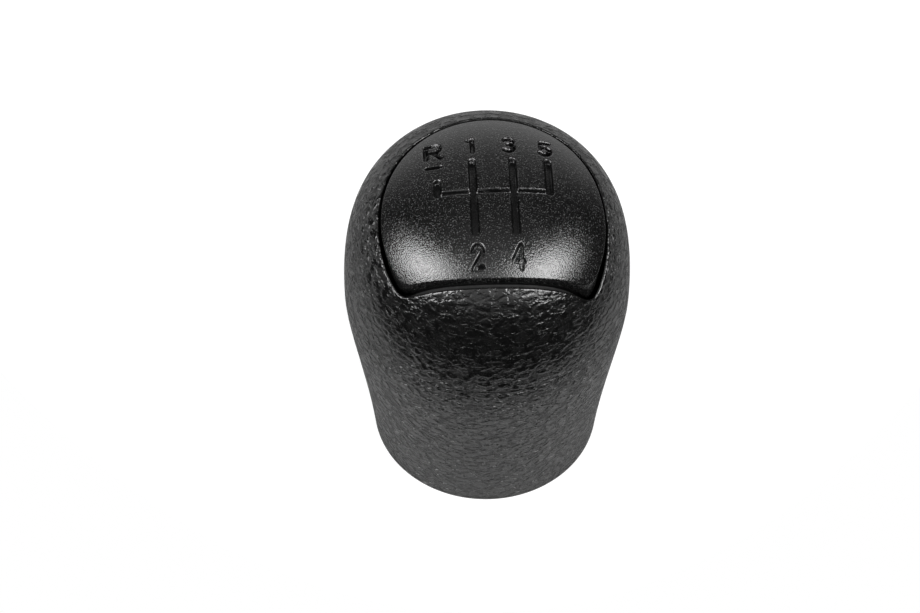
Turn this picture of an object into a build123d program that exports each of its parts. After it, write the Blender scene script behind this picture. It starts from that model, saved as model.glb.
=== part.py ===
"""Gear shift knob for a manual gearbox.

A soft grip is moulded over a rigid carrier. A sleeve pressed into the carrier
takes the end of the gear lever, and a domed cap with the shift pattern clips
into a recess in the top. Millimetres, +Z up, -Y towards the driver. The origin
is on the lever's axis, in the plane that the knob stands on.
"""

import os
from math import cos, radians, sin, tan

from build123d import *

# Outer form, a turned profile of two curves that meet at the girth
total_height = 70.0
girth_radius = 26.0
girth_height = 39.0
base_radius = 21.5
base_edge_radius = 0.8
dome_side_pull = 23.8  # reach of the upright side above the girth
dome_crown_pull = 20.9  # reach of the level crown from the axis
neck_girth_pull = 6.2  # reach of the upright side below the girth
neck_foot_pull = 17.0  # height over which the foot keeps its flare
neck_foot_flare = 1.2  # how far the foot leans out over that height

# Recess outline from above, a disc with a flatter front edge, where its walls rise to the crown
outline_center_x = 1.2
crown_center_y = -6.5
crown_rim = 3.3  # from the disc's edge to the girth's radius
crown_corner_radius = 9.7

# The same outline at the foot of the leaning walls
foot_center_y = -11.0
foot_rim = 10.5
foot_corner_radius = 2.5
foot_depth = 20.0  # below the crown

# Bearings in front of the cross axis, in degrees
corner_start = 18.2  # where the disc turns into a corner
corner_end = 79.8  # where the corner turns into the front edge
lip_radius = 0.4

# Cap
cap_gap = 0.5
cap_corner_start = 14.9  # sooner than the recess's corners, which widens the gap in front
cap_wall = 2.2
cap_edge_radius = 0.5
seat_clearance = 0.3

# Shift gate engraved in the cap, in line with the middle of its outline
gate_column_offset = 3.5
gate_side_offset = 9.7
gate_bar_y = -3.7
gate_forward_y = 3.0
gate_rearward_y = -11.8
gate_reverse_y = -1.2
gate_slot_width = 1.3
gate_bar_width = 0.8
gate_depth = 0.5

# Snap clips that hold the cap
clip_count = 4
clip_radius = 12.3
clip_width = 5.0
clip_thickness = 1.3
clip_hook = 0.6
clip_hook_height = 1.6
clip_clearance = 0.25

# Carrier inside the grip
deck_wall = 2.0
carrier_radius = 17.5
carrier_draft = 1.0
carrier_wall = 2.0
carrier_recess = 0.8
tube_wall = 1.8
rib_thickness = 1.8

# Sleeve on the gear lever
lever_radius = 6.0
sleeve_wall = 1.8
sleeve_length = 44.0
sleeve_end_wall = 2.0
sleeve_clearance = 0.05
flange_width = 1.6
flange_thickness = 1.2
bore_chamfer = 0.8
key_count = 4
key_width = 2.4
key_height = 0.8

# Sizes that follow from those above
seat_inset = cap_wall + seat_clearance
deck_inset = seat_inset + deck_wall
foot_level = total_height - foot_depth
crown_radius = girth_radius - crown_rim
foot_radius = girth_radius - foot_rim
sleeve_radius = lever_radius + sleeve_wall
tube_bore = sleeve_radius + sleeve_clearance
tube_radius = tube_bore + key_height + tube_wall
tube_foot = carrier_recess + flange_thickness
clip_half_pitch = 180 / clip_count
slot_length = clip_thickness + clip_hook + 2 * clip_clearance
slot_width = clip_width + 2 * clip_clearance
surface_tolerance = 0.01


def dome_points(inset):
    """Control points of the dome's curve, drawn in by inset."""
    return [
        (girth_radius - inset, girth_height),
        (girth_radius - inset, girth_height + dome_side_pull),
        (dome_crown_pull, total_height - inset),
        (0, total_height - inset),
    ]


def dome_height(radius, inset=0.0):
    """Height of the dome, drawn in by inset, at a distance from the axis."""
    curve = Edge.make_bezier(*dome_points(inset))
    upper, lower = 1.0, 0.0
    for _ in range(30):
        middle = (upper + lower) / 2
        if (curve @ middle).X > radius:
            lower = middle
        else:
            upper = middle
    return (curve @ lower).Y


def on_dome(edge):
    """Whether an edge lies on the knob's outer surface."""
    point = edge @ 0.5
    return abs(dome_height(Vector(point.X, point.Y).length) - point.Z) < surface_tolerance


def turned_form(inset=0.0):
    """The knob's turned outer form, drawn in by inset."""
    foot = base_radius - inset
    girth = girth_radius - inset
    with BuildPart() as form:
        with BuildSketch(Plane.XZ):
            with BuildLine():
                Line((0, 0), (foot, 0))
                Bezier(
                    (foot, 0),
                    (foot + neck_foot_flare, neck_foot_pull),
                    (girth, girth_height - neck_girth_pull),
                    (girth, girth_height),
                )
                Bezier(*dome_points(inset))
                Line((0, total_height - inset), (0, 0))
            make_face()
        revolve(axis=Axis.Z)
    return form.part


def outline_arcs(center_y, radius, corner_radius, first_bearing):
    """Closed outline of a disc, with corners from first_bearing on and a flatter front edge."""
    reach = radius - corner_radius
    corner_x = reach * cos(radians(first_bearing))
    corner_y = center_y - reach * sin(radians(first_bearing))
    front_center_y = corner_y + corner_x * tan(radians(corner_end))
    front_radius = corner_x / cos(radians(corner_end)) + corner_radius
    corner_turn = corner_end - first_bearing
    disc_center = (outline_center_x, center_y)
    CenterArc(disc_center, radius, -first_bearing, 180 + 2 * first_bearing)
    left_corner = (outline_center_x - corner_x, corner_y)
    CenterArc(left_corner, corner_radius, 180 + first_bearing, corner_turn)
    front_center = (outline_center_x, front_center_y)
    CenterArc(front_center, front_radius, 180 + corner_end, 180 - 2 * corner_end)
    right_corner = (outline_center_x + corner_x, corner_y)
    CenterArc(right_corner, corner_radius, -corner_end, corner_turn)


def outline_plug(inset, first_bearing):
    """Plug that fills the recess, drawn in by inset, and widens from its foot to the crown."""
    with BuildPart() as plug:
        with BuildSketch(Plane.XY.offset(foot_level)):
            with BuildLine():
                outline_arcs(foot_center_y, foot_radius - inset, foot_corner_radius - inset, first_bearing)
            make_face()
        with BuildSketch(Plane.XY.offset(total_height)):
            with BuildLine():
                outline_arcs(crown_center_y, crown_radius - inset, crown_corner_radius - inset, first_bearing)
            make_face()
        loft(ruled=True)
    return plug.part


full_form = turned_form()
seat_form = turned_form(seat_inset)
deck_form = turned_form(deck_inset)
deck_middle_form = turned_form(seat_inset + deck_wall / 2)
cap_middle_form = turned_form(cap_wall / 2)
recess_plug = outline_plug(0, corner_start)
cap_plug = outline_plug(cap_gap, cap_corner_start)

# Carrier's body as a filled shape, which the grip is moulded round
with BuildPart() as carrier_fill:
    with BuildSketch(Plane.XZ):
        with BuildLine():
            Polyline(
                (0, 0),
                (carrier_radius, 0),
                (carrier_radius - carrier_draft, total_height),
                (0, total_height),
                close=True,
            )
        make_face()
    revolve(axis=Axis.Z)
    add(seat_form, mode=Mode.INTERSECT)

# Deck under the cap, a shell that also closes the top of the carrier's body
with BuildPart() as deck:
    add(carrier_fill.part)
    split(bisect_by=Plane.XY.offset(girth_height), keep=Keep.TOP)
    add(recess_plug)
    add(seat_form, mode=Mode.INTERSECT)
    add(deck_form, mode=Mode.SUBTRACT)

# Grip, with the recess for the cap and the hollow that the carrier fills
with BuildPart() as grip_cover:
    add(full_form)
    fillet(grip_cover.edges().group_by(Axis.Z)[0], base_edge_radius)
    add(recess_plug - seat_form, mode=Mode.SUBTRACT)
    fillet(grip_cover.edges(Select.LAST).filter_by(on_dome), lip_radius)
    add(carrier_fill.part, mode=Mode.SUBTRACT)
    add(deck.part, mode=Mode.SUBTRACT)
    grip_cover.part.label = "grip_cover"

# Carrier, open from below, with the tube for the sleeve and slots for the clips
with BuildPart() as core_carrier:
    add(carrier_fill.part)
    split(bisect_by=Plane.XY.offset(carrier_recess), keep=Keep.TOP)
    with BuildSketch(Plane.XZ):
        with BuildLine():
            Polyline(
                (tube_radius, 0),
                (carrier_radius - carrier_wall, 0),
                (carrier_radius - carrier_draft - carrier_wall, total_height),
                (tube_radius, total_height),
                close=True,
            )
        make_face()
    revolve(axis=Axis.Z, mode=Mode.SUBTRACT)
    with BuildSketch(Plane.XY.offset(tube_foot)):
        with PolarLocations((tube_radius + carrier_radius - carrier_wall) / 2, clip_count):
            Rectangle(carrier_radius - carrier_wall - tube_radius + tube_wall, rib_thickness)
    extrude(amount=total_height)
    with BuildSketch(Plane.XY):
        Circle(tube_radius)
    extrude(amount=tube_foot, mode=Mode.SUBTRACT)
    with BuildSketch(Plane.XY):
        Circle(tube_bore)
        with PolarLocations(tube_bore, key_count, start_angle=clip_half_pitch):
            Rectangle(2 * (key_height + sleeve_clearance), key_width + 2 * sleeve_clearance)
    extrude(amount=total_height, mode=Mode.SUBTRACT)
    add(deck_middle_form, mode=Mode.INTERSECT)
    add(deck.part)
    with BuildSketch(Plane.XY.offset(girth_height)):
        with PolarLocations(clip_radius + clip_hook / 2, clip_count, start_angle=clip_half_pitch):
            Rectangle(slot_length, slot_width)
    extrude(amount=total_height - girth_height, mode=Mode.SUBTRACT)
    core_carrier.part.label = "core_carrier"

# Sleeve, a closed-ended bush with a flange under the tube and keys against turning
with BuildPart() as lever_sleeve:
    with BuildSketch(Plane.XY.offset(carrier_recess)):
        Circle(sleeve_radius + flange_width)
    extrude(amount=flange_thickness)
    with BuildSketch(Plane.XY.offset(tube_foot)):
        Circle(sleeve_radius)
        with PolarLocations(sleeve_radius, key_count, start_angle=clip_half_pitch):
            Rectangle(2 * key_height, key_width)
    extrude(amount=sleeve_length)
    with BuildSketch(Plane.XY.offset(carrier_recess)):
        Circle(lever_radius)
    extrude(amount=flange_thickness + sleeve_length - sleeve_end_wall, mode=Mode.SUBTRACT)
    mouth = lever_sleeve.edges().filter_by(GeomType.CIRCLE).group_by(Axis.Z)[0].sort_by(SortBy.RADIUS)[0]
    chamfer(mouth, bore_chamfer)
    lever_sleeve.part.label = "lever_sleeve"

# Clips under the cap, hooked outwards below the deck
hook_top = dome_height(clip_radius + clip_thickness / 2 + clip_hook, deck_inset) - clip_clearance
with BuildPart() as clips:
    with BuildSketch(Plane.XY.offset(hook_top - clip_hook_height)):
        with PolarLocations(clip_radius, clip_count, start_angle=clip_half_pitch):
            Rectangle(clip_thickness, clip_width)
    extrude(amount=total_height)
    for clip in range(clip_count):
        clip_angle = clip_half_pitch * (2 * clip + 1)
        with BuildSketch(Plane.XZ.rotated((0, clip_angle, 0))):
            with BuildLine():
                Polyline(
                    (clip_radius, hook_top - clip_hook_height),
                    (clip_radius + clip_thickness / 2, hook_top - clip_hook_height),
                    (clip_radius + clip_thickness / 2 + clip_hook, hook_top),
                    (clip_radius, hook_top),
                    close=True,
                )
            make_face()
        extrude(amount=clip_width / 2, both=True)
    add(cap_middle_form, mode=Mode.INTERSECT)

# Cap, a domed shell with a rounded edge, engraved with the shift gate
with BuildPart() as gate:
    with BuildSketch(Plane.XY.offset(girth_height)):
        for side in (-1, 1):
            column_x = outline_center_x + side * gate_column_offset
            column_y = (gate_forward_y + gate_rearward_y) / 2
            SlotCenterPoint((column_x, column_y), (column_x, gate_forward_y), gate_slot_width)
        for side, leg_end_y in ((-1, gate_reverse_y), (1, gate_forward_y)):
            leg_x = outline_center_x + side * gate_side_offset
            SlotCenterPoint((leg_x, (gate_bar_y + leg_end_y) / 2), (leg_x, leg_end_y), gate_slot_width)
        SlotCenterPoint(
            (outline_center_x, gate_bar_y),
            (outline_center_x + gate_side_offset, gate_bar_y),
            gate_bar_width,
        )
    extrude(amount=total_height - girth_height)
    add(turned_form(gate_depth), mode=Mode.SUBTRACT)

with BuildPart() as shift_pattern_cap:
    add(full_form)
    add(cap_plug, mode=Mode.INTERSECT)
    fillet(shift_pattern_cap.edges().filter_by(on_dome), cap_edge_radius)
    add(turned_form(cap_wall), mode=Mode.SUBTRACT)
    add(gate.part, mode=Mode.SUBTRACT)
    add(clips.part)
    shift_pattern_cap.part.label = "shift_pattern_cap"

os.makedirs("parts", exist_ok=True)
export_step(grip_cover.part, "parts/grip_cover.step")
export_step(core_carrier.part, "parts/core_carrier.step")
export_step(lever_sleeve.part, "parts/lever_sleeve.step")
export_step(shift_pattern_cap.part, "parts/shift_pattern_cap.step")
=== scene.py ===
"""Looks of the gear shift knob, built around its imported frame."""

from math import atan2, cos, pi, radians, sin, sqrt, tau

import bpy
import numpy as np
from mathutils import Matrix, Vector


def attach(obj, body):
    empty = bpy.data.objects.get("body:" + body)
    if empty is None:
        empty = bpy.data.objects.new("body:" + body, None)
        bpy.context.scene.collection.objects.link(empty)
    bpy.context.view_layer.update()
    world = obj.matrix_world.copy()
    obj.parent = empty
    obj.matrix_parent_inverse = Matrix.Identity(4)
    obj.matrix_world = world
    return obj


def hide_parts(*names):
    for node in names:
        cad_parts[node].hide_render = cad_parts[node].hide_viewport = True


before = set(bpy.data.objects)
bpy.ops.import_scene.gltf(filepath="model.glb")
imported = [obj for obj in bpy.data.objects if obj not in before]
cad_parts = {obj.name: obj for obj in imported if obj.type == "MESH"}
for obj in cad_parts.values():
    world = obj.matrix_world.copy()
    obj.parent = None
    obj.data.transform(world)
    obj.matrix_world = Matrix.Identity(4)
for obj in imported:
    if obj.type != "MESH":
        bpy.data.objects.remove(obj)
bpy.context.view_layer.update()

MM = 0.001

# Turned form of the solids, in millimetres
TOTAL_HEIGHT = 70.0
GIRTH_RADIUS = 26.0
GIRTH_HEIGHT = 39.0
BASE_RADIUS = 21.5
BASE_EDGE_RADIUS = 0.8
DOME_SIDE_PULL = 23.8
DOME_CROWN_PULL = 20.9
NECK_GIRTH_PULL = 6.2
NECK_FOOT_PULL = 17.0
NECK_FOOT_FLARE = 1.2

# Recess and cap, let in between an outline at the crown and a smaller one at the foot. Corners, lip, gaps
# and the place from side to side are a little off the solids' own, to come closer to the photograph.
OUTLINE_CENTER_X = 0.8
CROWN_CENTER_Y = -4.6
CROWN_FRONT_Y = -20.8
CROWN_RADIUS = 21.5
CROWN_CORNER_RADIUS = 7.5
FOOT_CENTER_Y = -15.0
FOOT_FRONT_Y = -18.6
FOOT_RADIUS = 17.5
FOOT_CORNER_RADIUS = 3.2
FOOT_DEPTH = 20.0
FRONT_EDGE_RADIUS = 71.0
LIP_RADIUS = 0.28
CAP_GAP = 0.65
CAP_FRONT_GAP = 1.0
CAP_WALL = 2.2
CAP_EDGE_RADIUS = 0.5
SEAT_CLEARANCE = 0.3
SEAT_INSET = CAP_WALL + SEAT_CLEARANCE

# Carrier inside the grip, and how far the grip's hidden inside lies below its seat
CARRIER_RADIUS = 17.5
CARRIER_DRAFT = 1.0
HIDDEN_DROP = 1.0

# Parting line round the grip, just above the girth
PARTING_RUN = 2.4
PARTING_WIDTH = 0.36
PARTING_DEPTH = 0.04

# Length over which the grain comes in above the base
GRAIN_FADE = 0.8

# Middle of the cap's grid, between its front and back edges
MIDDLE_Y = -3.0

# Samples along curves, arcs and walls on which places are looked up, and how far an edge is searched
CURVE_SAMPLES = 800
ARC_SAMPLES = 900
WALL_SAMPLES = 400
EDGE_SAMPLES = 321
EDGE_REACH = 1.6

# Mesh density
GRIP_COLUMNS = 432
BASE_ROWS = 5
BASE_EDGE_ROWS = 6
NECK_ROWS = 104
BAND_RUN = 4.0
BELOW_PARTING_ROWS = 6
PARTING_ROWS = 7
ABOVE_PARTING_ROWS = 5
DOME_ROWS = 72
WALL_ROWS = 6
ROUND_ROWS = 8
CAP_CELLS = 270
CAP_SIDE_SHARES = (0.5, 1.0)
CAP_UNDER_SHARES = (0.97, 0.9, 0.75, 0.5, 0.25, 0.08)
FLOOR_FRONT_POINTS = 41

# Shift pattern, about the middle of the outline from side to side
COLUMN_OFFSET = 3.5
SIDE_OFFSET = 9.7
BAR_Y = -3.7
FORWARD_Y = 3.0
REARWARD_Y = -11.8
REVERSE_Y = -1.2
SLOT_WIDTH = 1.3
BAR_WIDTH = 0.8
DIGIT_STROKE = 0.72
ENGRAVING_DEPTH = 1.0
ENGRAVING_EDGE = 0.24

# Labels of the pattern: middle, and width and height
FRONT_DIGIT = (1.8, 3.1)
REAR_DIGIT = (1.7, 3.5)
LETTER = (2.5, 3.2)
LABELS = (
    ("1", (-COLUMN_OFFSET, 6.9), FRONT_DIGIT),
    ("3", (COLUMN_OFFSET - 0.4, 6.9), FRONT_DIGIT),
    ("5", (SIDE_OFFSET - 0.3, 6.4), FRONT_DIGIT),
    ("R", (-SIDE_OFFSET - 0.5, 6.2), LETTER),
    ("2", (-COLUMN_OFFSET + 0.2, -15.9), REAR_DIGIT),
    ("4", (COLUMN_OFFSET + 0.2, -15.9), REAR_DIGIT),
)

# Dash between the R and its slot
DASH = ((-SIDE_OFFSET - 1.6, 2.4), (-SIDE_OFFSET + 0.6, 2.4))

# Materials: depths of their reliefs in millimetres, and what a dent adds to the roughness
CREASE_DEPTH = 0.065
DENT_DEPTH = 0.34
SPECKLE_DEPTH = 0.02
SPARKLE_DEPTH = 0.07
MOULD_DEPTH = 0.02
DENT_ROUGHNESS = 0.25
BLACK_SPECULAR = 1.0

# Floor, in metres, with a front edge that curves back at the sides. The glow is for the camera alone.
FLOOR_HALF_WIDTH = 0.16
FLOOR_FRONT_Y = -0.046
FLOOR_FRONT_CURVE = 6.5
FLOOR_FRONT_END_Y = 0.06
FLOOR_BACK_Y = 0.4
FLOOR_Z = -0.00005
FLOOR_SHADE = 0.44
FLOOR_GLOW = 0.73

# Lamps, in metres, each with its azimuth and elevation in degrees, width and height, and power in watts
LAMP_DISTANCE = 0.8
LAMP_AIM_HEIGHT = 0.045
SOFTBOXES = {
    "softbox_left": (-63, 32, (0.46, 0.54), 6.4),
    "softbox_right": (51, 34, (0.5, 0.54), 6.7),
}
ROOM_DIM = 0.01

# Camera, fitted to the photograph: degrees, millimetres and pixels
IMAGE_WIDTH = 920
IMAGE_HEIGHT = 613
CAMERA_AZIMUTH = -3.4
CAMERA_ELEVATION = 52.0
CAMERA_DISTANCE = 450.0
CAMERA_FOCAL_PX = 2441.0
AIM_HEIGHT = 35.0
AIM_PIXEL = (486.4, 298.0)
SENSOR_WIDTH = 36.0
CLIP_START = 0.01


def bezier(points):
    """Points along a cubic curve given by its control points."""
    t = np.linspace(0, 1, CURVE_SAMPLES)[:, None]
    start, pull_a, pull_b, end = np.array(points, float)
    return (1 - t) ** 3 * start + 3 * (1 - t) ** 2 * t * pull_a + 3 * (1 - t) * t**2 * pull_b + t**3 * end


def dome_curve(inset=0.0):
    """Radius and height along the dome, from girth to crown, drawn in by inset."""
    return bezier([
        (GIRTH_RADIUS - inset, GIRTH_HEIGHT),
        (GIRTH_RADIUS - inset, GIRTH_HEIGHT + DOME_SIDE_PULL),
        (DOME_CROWN_PULL, TOTAL_HEIGHT - inset),
        (0, TOTAL_HEIGHT - inset),
    ])


def neck_curve():
    """Radius and height along the neck, from base to girth."""
    return bezier([
        (BASE_RADIUS, 0),
        (BASE_RADIUS + NECK_FOOT_FLARE, NECK_FOOT_PULL),
        (GIRTH_RADIUS, GIRTH_HEIGHT - NECK_GIRTH_PULL),
        (GIRTH_RADIUS, GIRTH_HEIGHT),
    ])


def dome_height(plan, inset=0.0):
    """Height of the dome, drawn in by inset, over points of the plan."""
    curve = dome_curve(inset)
    return np.interp(np.linalg.norm(plan, axis=-1), curve[::-1, 0], curve[::-1, 1])


def run_along(curve):
    """Running length along a curve."""
    steps = np.linalg.norm(np.diff(curve, axis=0), axis=1)
    return np.concatenate([[0], np.cumsum(steps)])


def outline_arcs(center_y, front_y, radius, corner_radius, front_inset):
    """Centre, radius, and first and last bearing of each arc of an outline, counterclockwise."""
    apart = front_y + FRONT_EDGE_RADIUS - center_y
    disc_reach = radius - corner_radius
    front_reach = FRONT_EDGE_RADIUS - front_inset - corner_radius
    y = (disc_reach**2 - front_reach**2 + apart**2) / (2 * apart)
    x = sqrt(disc_reach**2 - y**2)
    side = atan2(y, x)
    front = atan2(y - apart, x)
    return [
        ((OUTLINE_CENTER_X, center_y), radius, side, pi - side),
        ((OUTLINE_CENTER_X - x, center_y + y), corner_radius, pi - side, pi - front),
        ((OUTLINE_CENTER_X, center_y + apart), FRONT_EDGE_RADIUS - front_inset, pi - front, tau + front),
        ((OUTLINE_CENTER_X + x, center_y + y), corner_radius, tau + front, tau + side),
    ]


def outline_points(bearing, arcs, facing):
    """Points where an outline faces each bearing."""
    points = np.zeros_like(facing)
    for center, radius, start, end in arcs:
        turned = (bearing - start) % tau
        here = turned <= end - start + 1e-9
        points[here] = center + radius * facing[here]
    return points


def recess_wall(shares, inset, front_inset, girth_weight):
    """Foot and crown of the leaning wall, drawn in by inset, and by front_inset in front.

    They are given at shares of the way round, which are spread evenly over the outline, and over the girth
    by its weight. Gives the direction in which each place of the wall faces, and its lean, too."""
    foot = outline_arcs(
        FOOT_CENTER_Y, FOOT_FRONT_Y, FOOT_RADIUS - inset, FOOT_CORNER_RADIUS - inset, front_inset
    )
    crown = outline_arcs(
        CROWN_CENTER_Y, CROWN_FRONT_Y, CROWN_RADIUS - inset, CROWN_CORNER_RADIUS - inset, front_inset
    )
    fine = np.concatenate([np.linspace(start, end, ARC_SAMPLES) for _, _, start, end in foot])
    facing = np.stack([np.cos(fine), np.sin(fine)], axis=-1)
    middle = (outline_points(fine, foot, facing) + outline_points(fine, crown, facing)) / 2
    turn = np.unwrap(np.arctan2(middle[:, 1], middle[:, 0]))
    steps = np.linalg.norm(np.diff(middle, axis=0), axis=1) + girth_weight * GIRTH_RADIUS * np.diff(turn)
    way = np.concatenate([[0], np.cumsum(steps)])
    bearing = np.interp(shares, way / way[-1], fine)
    facing = np.stack([np.cos(bearing), np.sin(bearing)], axis=-1)
    foot_points = outline_points(bearing, foot, facing)
    crown_points = outline_points(bearing, crown, facing)
    lean = np.arctan(((crown_points - foot_points) * facing).sum(axis=1) / FOOT_DEPTH)
    return foot_points, crown_points, facing, lean


def wall_meeting(foot, crown, depth):
    """Where the leaning wall meets the dome drawn in by depth: points of the plan, and heights."""
    share = np.linspace(0, 1, WALL_SAMPLES)
    plan = foot[:, None] + share[None, :, None] * (crown - foot)[:, None]
    above = TOTAL_HEIGHT - FOOT_DEPTH * (1 - share) - dome_height(plan, depth)
    met = np.array([np.interp(0.0, row, share) for row in above])
    return foot + met[:, None] * (crown - foot), TOTAL_HEIGHT - FOOT_DEPTH * (1 - met)


def rolled_edge(edge, facing, lean, radius, side):
    """Rounded edge between the leaning wall and the dome, outside the wall (side 1) or inside it (side -1).

    Gives the run and rise of the round's centre from the wall's edge, and the dome's slope where the round
    begins."""
    run = np.linspace(-EDGE_REACH, EDGE_REACH, EDGE_SAMPLES)
    rise = dome_height(edge[:, None] + run[None, :, None] * facing[:, None]) - dome_height(edge)[:, None]
    slope = np.arctan(-np.gradient(rise, run, axis=1))
    center_run = run - radius * np.sin(slope)
    center_rise = rise - radius * np.cos(slope)
    off_wall = center_run * np.cos(lean)[:, None] - center_rise * np.sin(lean)[:, None]
    found = []
    for away, slopes, runs, rises in zip(off_wall, slope, center_run, center_rise):
        at = np.interp(side * radius, away, run)
        found.append([np.interp(at, run, values) for values in (runs, rises, slopes)])
    return np.array(found).T


def mesh_object(name, points, faces, node):
    """A smooth mesh piece in metres, riding on the part in place of a CAD node."""
    mesh = bpy.data.meshes.new(name)
    mesh.from_pydata((np.asarray(points) * MM).tolist(), [], faces)
    mesh.shade_smooth()
    piece = bpy.data.objects.new(name, mesh)
    bpy.context.collection.objects.link(piece)
    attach(piece, "root")
    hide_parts(node)
    return piece


def mark_points(piece, name, values):
    """Stores one number for each point of a piece, for its material."""
    attribute = piece.data.attributes.new(name, "FLOAT", "POINT")
    attribute.data.foreach_set("value", values.astype(np.float32))


def ring_faces(rows, columns, close_rows=False, first=0):
    """Quads between rings of points that follow one another."""
    row = np.arange(rows if close_rows else rows - 1)[:, None]
    column = np.arange(columns)[None, :]
    after = (row + 1) % rows
    beside = (column + 1) % columns
    here, there = row * columns, after * columns
    quads = [here + column, here + beside, there + beside, there + column]
    return (np.stack(quads, axis=-1).reshape(-1, 4) + first).tolist()


def grip_rings():
    """Points of each ring of the grip's closed skin, and how much grain each ring carries."""
    shares = np.linspace(0, 1, GRIP_COLUMNS, endpoint=False)
    foot, crown, facing, lean = recess_wall(shares, 0.0, 0.0, 1.0)
    edge, edge_height = wall_meeting(foot, crown, 0.0)
    center_run, center_rise, slope = rolled_edge(edge, facing, lean, LIP_RADIUS, 1)
    lip = edge + (center_run + LIP_RADIUS * np.sin(slope))[:, None] * facing
    turn = np.arctan2(lip[:, 1], lip[:, 0])
    around = np.stack([np.cos(turn), np.sin(turn)], axis=-1)
    rings, grain = [], []

    def turned(radius, height, share):
        plan = np.broadcast_to(radius, turn.shape)[:, None] * around
        rings.append(np.column_stack([plan, np.broadcast_to(height, turn.shape)]))
        grain.append(np.broadcast_to(share, turn.shape))

    def walled(plan, height, share=0.0):
        rings.append(np.column_stack([plan, np.broadcast_to(height, turn.shape)]))
        grain.append(np.full(len(turn), share))

    # Base ring and its rounded outer edge
    neck = neck_curve()
    base = np.interp(BASE_EDGE_RADIUS, neck[:, 1], neck[:, 0])
    for radius in np.linspace(CARRIER_RADIUS, base - BASE_EDGE_RADIUS, BASE_ROWS)[:-1]:
        turned(radius, 0.0, 0.0)
    for angle in np.linspace(-pi / 2, 0, BASE_EDGE_ROWS)[:-1]:
        turned(base - BASE_EDGE_RADIUS * (1 - cos(angle)), BASE_EDGE_RADIUS * (1 + sin(angle)), 0.0)

    # Neck up to the girth
    run = run_along(neck)
    start = np.interp(BASE_EDGE_RADIUS, neck[:, 1], run)
    for at in np.linspace(start, run[-1], NECK_ROWS, endpoint=False):
        share = min((at - start) / GRAIN_FADE, 1.0)
        turned(np.interp(at, run, neck[:, 0]), np.interp(at, run, neck[:, 1]), share)

    # Band above the girth with the parting line pressed into it
    dome = dome_curve()
    run = run_along(dome)
    half = PARTING_WIDTH / 2
    below = np.linspace(0, PARTING_RUN - half, BELOW_PARTING_ROWS, endpoint=False)
    groove = PARTING_RUN + half * np.linspace(-1, 1, PARTING_ROWS)
    above = np.linspace(PARTING_RUN + half, BAND_RUN, ABOVE_PARTING_ROWS)[1:]
    for at in np.concatenate([below, groove, above]):
        press = max(1 - ((at - PARTING_RUN) / half) ** 2, 0.0)
        radius = np.interp(at, run, dome[:, 0]) - PARTING_DEPTH * press
        turned(radius, np.interp(at, run, dome[:, 1]), 1 - press)

    # Dome up to the rounded lip of the recess
    lip_run = np.interp(-np.linalg.norm(lip, axis=1), -dome[:, 0], run)
    for share in np.linspace(0, 1, DOME_ROWS, endpoint=False)[1:]:
        at = BAND_RUN + (lip_run - BAND_RUN) * share
        turned(np.interp(at, run, dome[:, 0]), np.interp(at, run, dome[:, 1]), 1.0)
    for share in np.linspace(0, 1, ROUND_ROWS):
        angle = (pi / 2 - slope) * (1 - share) + (pi - lean) * share
        run = center_run + LIP_RADIUS * np.cos(angle)
        rise = center_rise + LIP_RADIUS * np.sin(angle)
        walled(edge + run[:, None] * facing, edge_height + rise, 1 - share)

    # Wall of the recess, then under the cap and down the carrier's body, out of sight
    seat, seat_height = wall_meeting(foot, crown, SEAT_INSET)
    top, top_height = rings[-1][:, :2], rings[-1][:, 2]
    for share in np.linspace(0, 1, WALL_ROWS)[1:]:
        walled(top * (1 - share) + seat * share, top_height * (1 - share) + seat_height * share)
    core = CARRIER_RADIUS - CARRIER_DRAFT * GIRTH_HEIGHT / TOTAL_HEIGHT
    under = seat * np.minimum(1.0, core / np.linalg.norm(seat, axis=1))[:, None]
    walled(under, np.minimum(dome_height(under, SEAT_INSET) - HIDDEN_DROP, seat_height))
    return np.array(rings), np.array(grain)


def build_grip():
    """The grip: a turned skin with a rounded base edge, a parting line and a lipped recess."""
    rings, grain = grip_rings()
    faces = ring_faces(len(rings), GRIP_COLUMNS, close_rows=True)
    piece = mesh_object("grip_skin", rings.reshape(-1, 3), faces, "grip_cover")
    mark_points(piece, "grain", grain.ravel())
    return piece


def arc(center, size, start, end, count=14):
    """Points on an elliptical arc, with angles in degrees."""
    turn = np.radians(np.linspace(start, end, count))
    return np.stack([center[0] + size[0] * np.cos(turn), center[1] + size[1] * np.sin(turn)], axis=-1)


def glyph(name):
    """Strokes of a plain numeral, or else of the letter R, in a box one unit wide and high."""
    if name == "1":
        return [np.array([(0.2, 0.9), (0.46, 0.92), (0.62, 1.0), (0.62, 0.0)])]
    if name == "2":
        bowl = arc((0.5, 0.72), (0.46, 0.28), 170, -35)
        return [np.concatenate([bowl, [(0.04, 0.0), (1.0, 0.0)]])]
    if name == "3":
        upper = arc((0.46, 0.77), (0.42, 0.23), 150, -90)
        lower = arc((0.46, 0.27), (0.5, 0.27), 90, -150)
        return [np.concatenate([upper, lower[1:]])]
    if name == "4":
        return [np.array([(0.76, 0.0), (0.76, 1.0), (0.0, 0.3), (1.0, 0.3)])]
    if name == "5":
        bowl = arc((0.44, 0.31), (0.52, 0.31), 120, -150)
        return [np.concatenate([[(0.9, 1.0), (0.16, 1.0), (0.1, 0.5)], bowl])]
    bowl = arc((0.6, 0.74), (0.4, 0.26), 90, -90)
    stem = np.array([(0.0, 0.0), (0.0, 1.0)])
    head = np.concatenate([[(0.0, 1.0)], bowl, [(0.0, 0.48)]])
    leg = np.array([(0.5, 0.48), (1.0, 0.0)])
    return [stem, head, leg]


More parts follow.
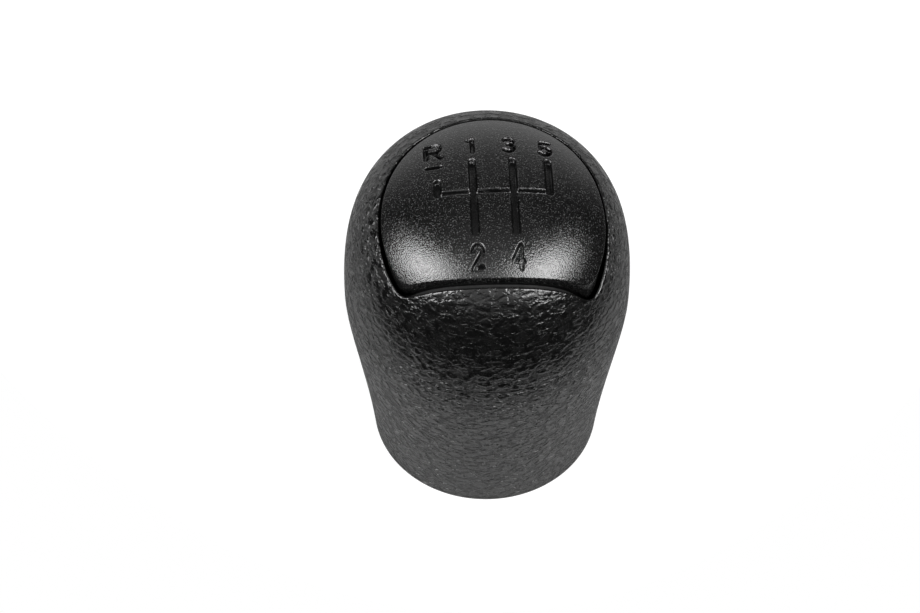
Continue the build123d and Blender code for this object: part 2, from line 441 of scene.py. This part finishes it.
def pattern_strokes():
    """Lines of the shift pattern on the plan, each with its width."""
    strokes = []
    for side in (-1, 1):
        x = side * COLUMN_OFFSET
        strokes.append((np.array([(x, FORWARD_Y), (x, REARWARD_Y)]), SLOT_WIDTH))
    for x, end in ((-SIDE_OFFSET, REVERSE_Y), (SIDE_OFFSET, FORWARD_Y)):
        strokes.append((np.array([(x, BAR_Y), (x, end)]), SLOT_WIDTH))
    strokes.append((np.array([(-SIDE_OFFSET, BAR_Y), (SIDE_OFFSET, BAR_Y)]), BAR_WIDTH))
    for name, center, size in LABELS:
        for line in glyph(name):
            strokes.append((np.array(center) + (line - 0.5) * size, DIGIT_STROKE))
    strokes.append((np.array(DASH), DIGIT_STROKE))
    return strokes


def engraving(plan):
    """How far each point of the plan is sunk by the engraved pattern, 0 to 1."""
    depth = np.zeros(len(plan))
    for line, width in pattern_strokes():
        for start, end in zip(line[:-1], line[1:]):
            run = end - start
            along = np.clip((plan - start) @ run / (run @ run), 0, 1)
            distance = np.linalg.norm(plan - start - along[:, None] * run, axis=1)
            fall = np.clip((width / 2 + ENGRAVING_EDGE / 2 - distance) / ENGRAVING_EDGE, 0, 1)
            depth = np.maximum(depth, fall * fall * (3 - 2 * fall))
    return depth


def disc_grid(cells):
    """Distance from the middle, 0 to 1, and share of the way round for a square grid drawn into a disc."""
    steps = np.linspace(-1, 1, cells + 1)
    a, b = np.meshgrid(steps, steps)
    wide = np.abs(a) >= np.abs(b)
    long_side = np.where(wide, a, b)
    short_side = np.where(wide, b, -a)
    ratio = np.divide(short_side, long_side, out=np.zeros_like(a), where=long_side != 0)
    turn = pi / 4 * ratio + np.where(wide, 0, pi / 2) + np.where(long_side < 0, pi, 0)
    return np.abs(long_side).ravel(), (turn / tau % 1).ravel()


def border_order(cells):
    """Indices of a square grid's border points, once round."""
    index = np.arange((cells + 1) ** 2).reshape(cells + 1, cells + 1)
    return np.concatenate([index[0, :-1], index[:-1, -1], index[-1, :0:-1], index[:0:-1, 0]])


def build_cap():
    """The cap: a domed shell with rolled edges, engraved with the shift pattern."""
    share, way = disc_grid(CAP_CELLS)
    foot, crown, facing, lean = recess_wall(way, CAP_GAP, CAP_FRONT_GAP, 0.0)
    edge, edge_height = wall_meeting(foot, crown, 0.0)
    center_run, center_rise, slope = rolled_edge(edge, facing, lean, CAP_EDGE_RADIUS, -1)
    start = edge + (center_run + CAP_EDGE_RADIUS * np.sin(slope))[:, None] * facing
    middle = np.array([OUTLINE_CENTER_X, MIDDLE_Y])
    plan = middle + share[:, None] * (start - middle)
    sunk = engraving(plan - (OUTLINE_CENTER_X, 0.0))
    height = dome_height(plan) - ENGRAVING_DEPTH * sunk
    index = np.arange((CAP_CELLS + 1) ** 2).reshape(CAP_CELLS + 1, CAP_CELLS + 1)
    quads = np.stack([index[:-1, :-1], index[:-1, 1:], index[1:, 1:], index[1:, :-1]], axis=-1)
    faces = quads.reshape(-1, 4).tolist()

    # Rolled edge, upright side and underside as rings round the border
    border = border_order(CAP_CELLS)
    foot, crown, facing, lean = foot[border], crown[border], facing[border], lean[border]
    edge, edge_height, slope = edge[border], edge_height[border], slope[border]
    center_run, center_rise = center_run[border], center_rise[border]
    rings = []
    for step in np.linspace(0, 1, ROUND_ROWS)[1:]:
        angle = (pi / 2 - slope) * (1 - step) - lean * step
        run = center_run + CAP_EDGE_RADIUS * np.cos(angle)
        rise = center_rise + CAP_EDGE_RADIUS * np.sin(angle)
        rings.append(np.column_stack([edge + run[:, None] * facing, edge_height + rise]))
    foot, foot_height = wall_meeting(foot, crown, CAP_WALL)
    last_ring = rings[-1]
    for step in CAP_SIDE_SHARES:
        rings.append(last_ring * (1 - step) + np.column_stack([foot, foot_height]) * step)
    for step in CAP_UNDER_SHARES:
        under = middle + step * (foot - middle)
        rings.append(np.column_stack([under, dome_height(under, CAP_WALL)]))
    tip_point = np.append(middle, dome_height(middle, CAP_WALL))
    first = len(plan)
    count = len(border)
    station = np.arange(count)
    beside = np.roll(station, -1)
    faces += np.stack([border, first + station, first + beside, np.roll(border, -1)], axis=-1).tolist()
    faces += np.array(ring_faces(len(rings), count, first=first))[:, ::-1].tolist()
    last = first + (len(rings) - 1) * count
    tip = first + len(rings) * count
    faces += np.stack([last + beside, last + station, np.full(count, tip)], axis=-1).tolist()
    points = np.concatenate([np.column_stack([plan, height]), *rings, tip_point[None]])
    piece = mesh_object("pattern_cap_skin", points, faces, "shift_pattern_cap")
    mark_points(piece, "sunk", np.pad(sunk, (0, len(points) - len(sunk))))
    return piece


class Graph:
    """Lays and links the nodes of one material or world."""

    def __init__(self, owner):
        owner.use_nodes = True
        self.nodes = owner.node_tree.nodes
        self.links = owner.node_tree.links

    def feed(self, socket, value):
        """Links a socket to another, or sets its value."""
        if isinstance(value, bpy.types.NodeSocket):
            self.links.new(value, socket)
        else:
            socket.default_value = value

    def put(self, kind, inputs, **settings):
        """Adds a node with its inputs and settings."""
        node = self.nodes.new("ShaderNode" + kind)
        for name, value in settings.items():
            setattr(node, name, value)
        for name, value in inputs.items():
            self.feed(node.inputs[name], value)
        return node

    def math(self, operation, first, second):
        return self.put("Math", {0: first, 1: second}, operation=operation).outputs[0]

    def times(self, first, second):
        return self.math("MULTIPLY", first, second)

    def most(self, first, second):
        return self.math("MAXIMUM", first, second)

    def ease(self, value, start, end, low, high):
        """Goes smoothly from low to high as a value goes from start to end."""
        inputs = {"Value": value, "From Min": start, "From Max": end, "To Min": low, "To Max": high}
        return self.put("MapRange", inputs, interpolation_type="SMOOTHSTEP").outputs[0]

    def noise(self, place, scale, detail=2.0):
        return self.put("TexNoise", {"Vector": place, "Scale": scale, "Detail": detail}).outputs

    def varied(self, place, scale, detail, low, high):
        """Values from low to high that wander with a noise."""
        return self.ease(self.noise(place, scale, detail)["Fac"], 0.3, 0.7, low, high)

    def vector(self, operation, first, second):
        return self.put("VectorMath", {0: first, 1: second}, operation=operation).outputs[0]

    def place(self, factors):
        """Places on the object in millimetres, times a factor along each axis."""
        coordinates = self.put("TexCoord", {}).outputs["Object"]
        return self.vector("MULTIPLY", coordinates, [factor / MM for factor in factors])

    def strayed(self, place, scale, reach):
        """Places moved about by a soft noise."""
        stray = self.vector("SUBTRACT", self.noise(place, scale)["Color"], (0.5, 0.5, 0.5))
        moved = self.vector("MULTIPLY", stray, (2 * reach, 2 * reach, 2 * reach))
        return self.vector("ADD", place, moved)

    def creases(self, place, scale, width):
        """A network of lines between cells, 1 on a line and 0 off it."""
        cells = self.put("TexVoronoi", {"Vector": place, "Scale": scale}, feature="DISTANCE_TO_EDGE")
        return self.ease(cells.outputs["Distance"], 0.0, width, 1.0, 0.0)

    def tint(self, share, first, last):
        """Colours from first to last as a share goes from 0 to 1."""
        ramp = self.put("ValToRGB", {"Fac": share})
        ramp.color_ramp.elements[0].color = (*first, 1.0)
        ramp.color_ramp.elements[1].color = (*last, 1.0)
        return ramp.outputs["Color"]

    def emboss(self, height):
        """Normals of a relief whose height is in millimetres."""
        return self.put("Bump", {"Height": height, "Distance": MM}).outputs["Normal"]


def new_material(name):
    """A material with its graph and its shader."""
    material = bpy.data.materials.new(name)
    graph = Graph(material)
    return material, graph, graph.nodes["Principled BSDF"].inputs


def grip_material():
    """Black soft-touch skin with a leather grain of fine irregular creases, smooth on edges and seams."""
    material, graph, shader = new_material("grained_grip")
    shader["Specular IOR Level"].default_value = BLACK_SPECULAR
    place = graph.place((1.0, 1.0, 1.4))
    strayed = graph.strayed(graph.strayed(place, 0.5, 0.6), 1.3, 0.4)
    patches = graph.noise(place, 0.5)["Fac"]

    # Thin broken creases everywhere, and wider dents that are weak on the upper front. Places are
    # stretched upwards, so heights here are 1.4 times the real ones.
    broken = graph.ease(graph.noise(place, 0.9)["Fac"], 0.48, 0.6, 0.0, 1.0)
    coarse = graph.times(graph.creases(strayed, 0.36, 0.08), broken)
    fine = graph.times(graph.creases(strayed, 0.95, 0.13), graph.ease(patches, 0.48, 0.6, 0.0, 0.4))
    lines = graph.times(graph.most(coarse, fine), CREASE_DEPTH)
    along = graph.put("SeparateXYZ", {0: place}).outputs
    low = graph.ease(along["Z"], 70.0, 52.0, 0.25, 1.0)
    back = graph.ease(along["Y"], -18.0, -6.0, 0.25, 1.0)
    dents = graph.times(graph.creases(strayed, 0.42, 0.26), graph.ease(patches, 0.38, 0.52, 0.25, 1.0))
    dents = graph.times(dents, graph.most(low, back))
    speckle = graph.times(graph.noise(place, 4.2, 3.0)["Fac"], SPECKLE_DEPTH)
    relief = graph.math("SUBTRACT", speckle, graph.most(lines, graph.times(dents, DENT_DEPTH)))
    grain = graph.put("Attribute", {}, attribute_name="grain").outputs["Fac"]
    graph.feed(shader["Normal"], graph.emboss(graph.times(relief, grain)))

    shade = graph.ease(patches, 0.3, 0.7, 0.0, 1.0)
    graph.feed(shader["Base Color"], graph.tint(shade, (0.002, 0.002, 0.002), (0.004, 0.004, 0.004)))
    worn = graph.varied(place, 1.6, 3.0, 0.18, 0.27)
    matted = graph.times(graph.times(dents, grain), DENT_ROUGHNESS)
    graph.feed(shader["Roughness"], graph.math("ADD", worn, matted))
    return material


def cap_material():
    """Satin black plastic with fine pale dots painted in as glints of light, none of them in the engraving,
    and a few specks of dust.
    """
    material, graph, shader = new_material("satin_cap")
    shader["Specular IOR Level"].default_value = BLACK_SPECULAR
    place = graph.place((1.0, 1.0, 1.0))
    sparkle = graph.noise(place, 4.2, 1.0)["Fac"]
    graph.feed(shader["Normal"], graph.emboss(graph.times(sparkle, SPARKLE_DEPTH)))

    cells = graph.put("TexVoronoi", {"Vector": place, "Scale": 0.3}).outputs
    chosen = graph.put("SeparateColor", {"Color": cells["Color"]}).outputs[0]
    dust = graph.ease(cells["Distance"], 0.02, 0.05, 1.0, 0.0)
    dust = graph.times(dust, graph.math("GREATER_THAN", chosen, 0.7))
    sunk = graph.put("Attribute", {}, attribute_name="sunk").outputs["Fac"]
    # Pale dots of base colour from the same noise as the relief are painted glints of light, and none are
    # painted in the engraving
    painted_glints = graph.ease(sparkle, 0.55, 0.7, 0.0, 0.2)
    painted_glints = graph.times(painted_glints, graph.ease(sunk, 0.0, 0.3, 1.0, 0.0))
    # Real specks of dust and the painted glints, in one pale base colour
    pale = graph.most(dust, painted_glints)
    graph.feed(shader["Base Color"], graph.tint(pale, (0.0025, 0.0025, 0.0025), (0.25, 0.25, 0.25)))
    graph.feed(shader["Roughness"], graph.varied(place, 1.1, 4.0, 0.18, 0.25))
    return material


def moulded_material(name, first, last, roughness):
    """Plain moulded plastic, slightly mottled."""
    material, graph, shader = new_material(name)
    place = graph.place((1.0, 1.0, 1.0))
    mottle = graph.varied(place, 0.35, 5.0, 0.0, 1.0)
    graph.feed(shader["Base Color"], graph.tint(mottle, first, last))
    graph.feed(shader["Roughness"], graph.varied(place, 2.2, 2.0, roughness - 0.06, roughness + 0.06))
    height = graph.times(graph.noise(place, 3.0, 3.0)["Fac"], MOULD_DEPTH)
    graph.feed(shader["Normal"], graph.emboss(height))
    return material


def dress(piece, material):
    """Gives a piece one material."""
    piece.data.materials.clear()
    piece.data.materials.append(material)


def toward(azimuth, elevation):
    """Direction from the knob at angles in degrees; azimuth is counted from the front, to the right."""
    azimuth, elevation = radians(azimuth), radians(elevation)
    return Vector((sin(azimuth) * cos(elevation), -cos(azimuth) * cos(elevation), sin(elevation)))


def place_camera():
    """Camera at the photograph's angle, turned so that the knob falls where the photograph has it."""
    backward = toward(CAMERA_AZIMUTH, CAMERA_ELEVATION)
    right = Vector((cos(radians(CAMERA_AZIMUTH)), sin(radians(CAMERA_AZIMUTH)), 0.0))
    up = backward.cross(right)
    aim = Vector((0, 0, AIM_HEIGHT))
    position = aim + CAMERA_DISTANCE * backward
    per_pixel = CAMERA_DISTANCE / CAMERA_FOCAL_PX
    target = aim - right * (AIM_PIXEL[0] - IMAGE_WIDTH / 2) * per_pixel
    target += up * (AIM_PIXEL[1] - IMAGE_HEIGHT / 2) * per_pixel
    data = bpy.data.cameras.new("camera")
    data.sensor_width = SENSOR_WIDTH
    data.lens = CAMERA_FOCAL_PX / IMAGE_WIDTH * SENSOR_WIDTH
    data.clip_start = CLIP_START
    camera = bpy.data.objects.new("camera", data)
    camera.location = position * MM
    camera.rotation_euler = (target - position).to_track_quat("-Z", "Y").to_euler()
    bpy.context.collection.objects.link(camera)
    bpy.context.scene.camera = camera


def softbox(name, azimuth, elevation, size, power):
    """A soft rectangular lamp aimed at the knob."""
    direction = toward(azimuth, elevation)
    data = bpy.data.lights.new(name, "AREA")
    data.shape = "RECTANGLE"
    data.size, data.size_y = size
    data.energy = power
    lamp = bpy.data.objects.new(name, data)
    lamp.location = Vector((0, 0, LAMP_AIM_HEIGHT)) + direction * LAMP_DISTANCE
    lamp.rotation_euler = (-direction).to_track_quat("-Z", "Y").to_euler()
    bpy.context.collection.objects.link(lamp)


def light_scene():
    """Two softboxes to the left and right, in a dim room that glows softly behind, in front and above."""
    for name, settings in SOFTBOXES.items():
        softbox(name, *settings)
    world = bpy.data.worlds.new("studio")
    bpy.context.scene.world = world
    graph = Graph(world)
    way = graph.put("SeparateXYZ", {0: graph.put("TexCoord", {}).outputs["Generated"]}).outputs
    behind = graph.ease(way["Y"], 0.5, 0.95, 0.0, 0.8)
    behind = graph.times(behind, graph.ease(way["Z"], 0.3, 0.85, 1.0, 0.1))
    before = graph.ease(way["Y"], 0.05, -0.55, 0.0, 0.5)
    before = graph.times(before, graph.ease(way["Z"], 0.1, 0.3, 0.0, 1.0))
    above = graph.ease(way["Z"], 0.85, 1.0, 0.0, 0.25)
    room = graph.math("ADD", graph.most(graph.most(behind, before), above), ROOM_DIM)

    # White where the camera sees it, and the room for all else
    path = graph.put("LightPath", {}).outputs
    seen = graph.most(path["Is Camera Ray"], path["Is Transmission Ray"])
    unseen = graph.times(room, graph.math("SUBTRACT", 1.0, seen))
    background = graph.nodes["Background"].inputs
    graph.feed(background["Strength"], graph.most(seen, unseen))
    background["Color"].default_value = (1.0, 1.0, 1.0, 1.0)


def lay_floor():
    """A plain pale floor that looks white and keeps the knob's shadow."""
    mesh = bpy.data.meshes.new("floor")
    across = np.linspace(-FLOOR_HALF_WIDTH, FLOOR_HALF_WIDTH, FLOOR_FRONT_POINTS)
    front = np.minimum(FLOOR_FRONT_Y + FLOOR_FRONT_CURVE * across ** 2, FLOOR_FRONT_END_Y)
    outline = [(x, y, FLOOR_Z) for x, y in zip(across.tolist(), front.tolist())]
    outline += [(FLOOR_HALF_WIDTH, FLOOR_BACK_Y, FLOOR_Z), (-FLOOR_HALF_WIDTH, FLOOR_BACK_Y, FLOOR_Z)]
    mesh.from_pydata(outline, [], [tuple(range(len(outline)))])
    floor = bpy.data.objects.new("floor", mesh)
    bpy.context.collection.objects.link(floor)
    material, graph, shader = new_material("floor_white")
    shader["Base Color"].default_value = (FLOOR_SHADE, FLOOR_SHADE, FLOOR_SHADE, 1.0)
    shader["Roughness"].default_value = 0.9
    shader["Specular IOR Level"].default_value = 0.0
    shader["Emission Color"].default_value = (1.0, 1.0, 1.0, 1.0)
    path = graph.put("LightPath", {}).outputs
    graph.feed(shader["Emission Strength"], graph.times(path["Is Camera Ray"], FLOOR_GLOW))
    dress(floor, material)


dress(build_grip(), grip_material())
dress(build_cap(), cap_material())
inner_materials = {
    # The carrier is black plastic, painted darker than its own colour as shade in the gap round the cap
    "core_carrier": moulded_material("carrier_plastic_gap_shade", (0.004, 0.004, 0.004), (0.008, 0.008, 0.008), 0.7),
    "lever_sleeve": moulded_material("sleeve_nylon", (0.45, 0.44, 0.4), (0.54, 0.53, 0.49), 0.42),
}
for name, material in inner_materials.items():
    for material_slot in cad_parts[name].material_slots:
        material_slot.material = material
lay_floor()
light_scene()
place_camera()
bpy.context.scene.view_settings.view_transform = "Standard"
